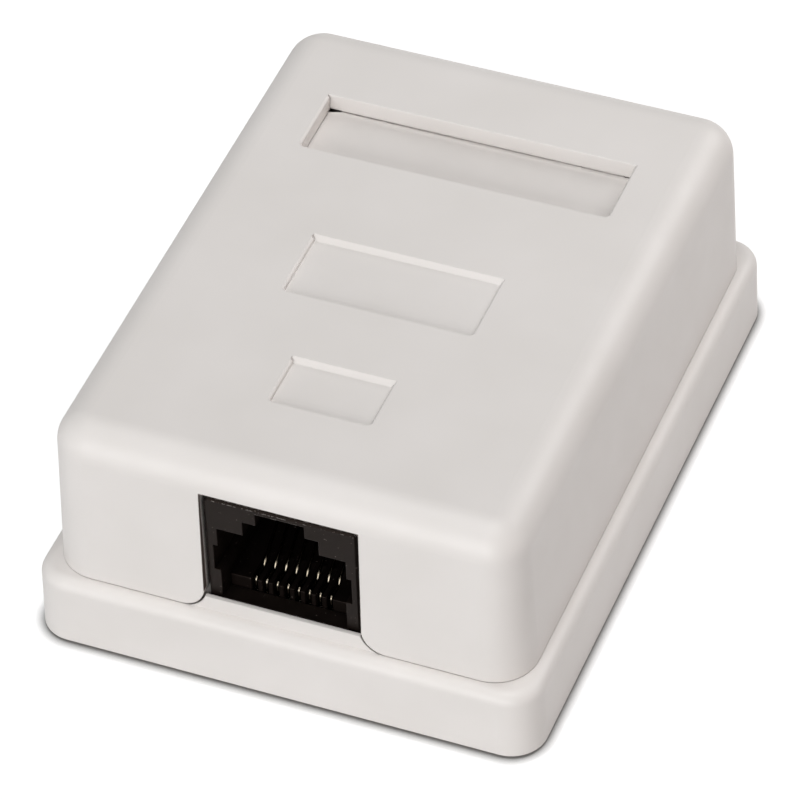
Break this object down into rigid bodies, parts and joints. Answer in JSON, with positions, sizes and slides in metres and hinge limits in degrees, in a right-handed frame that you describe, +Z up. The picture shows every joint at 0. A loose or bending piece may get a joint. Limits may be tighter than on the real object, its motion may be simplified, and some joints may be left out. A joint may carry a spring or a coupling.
{
  "type": "surface-mount network socket box",
  "caption": "White rectangular wall box with a pull-off cover, a label window and one black modular network socket in its front, wired to terminals on an inner board.",
  "frame": {"origin": "middle of the underside of the base", "axes": "+Z up out of the cover, the socket faces -Y, +X to the right seen from the front"},
  "size_m": [0.048, 0.064, 0.0244],
  "materials": {
    "white_moulding": "satin, finely textured",
    "label_strip": "satin",
    "green_board": "solder mask",
    "black_moulding": "satin",
    "pale_moulding": "satin",
    "gold_wire": "bright plated",
    "tinned_fork": "tinned"
  },
  "bodies": {
    "base_unit": {"base": "white_moulding", "circuit_board": "green_board", "jack_housing": "black_moulding", "contact_carrier": "black_moulding", "terminal_block_left": "pale_moulding", "terminal_block_right": "pale_moulding", "jack_contact_1": "gold_wire", "jack_contact_2": "gold_wire", "jack_contact_3": "gold_wire", "jack_contact_4": "gold_wire", "jack_contact_5": "gold_wire", "jack_contact_6": "gold_wire", "jack_contact_7": "gold_wire", "jack_contact_8": "gold_wire", "terminal_contact_1": "tinned_fork", "terminal_contact_2": "tinned_fork", "terminal_contact_3": "tinned_fork", "terminal_contact_4": "tinned_fork", "terminal_contact_5": "tinned_fork", "terminal_contact_6": "tinned_fork", "terminal_contact_7": "tinned_fork", "terminal_contact_8": "tinned_fork"},
    "cover_unit": {"cover": "white_moulding", "label_insert": "label_strip"}
  },
  "joints": [
    {"name": "cover_lift", "type": "slide", "parent": "base_unit", "child": "cover_unit", "axis": [0, 0, 1], "range_m": [0, 0.03]}
  ]
}
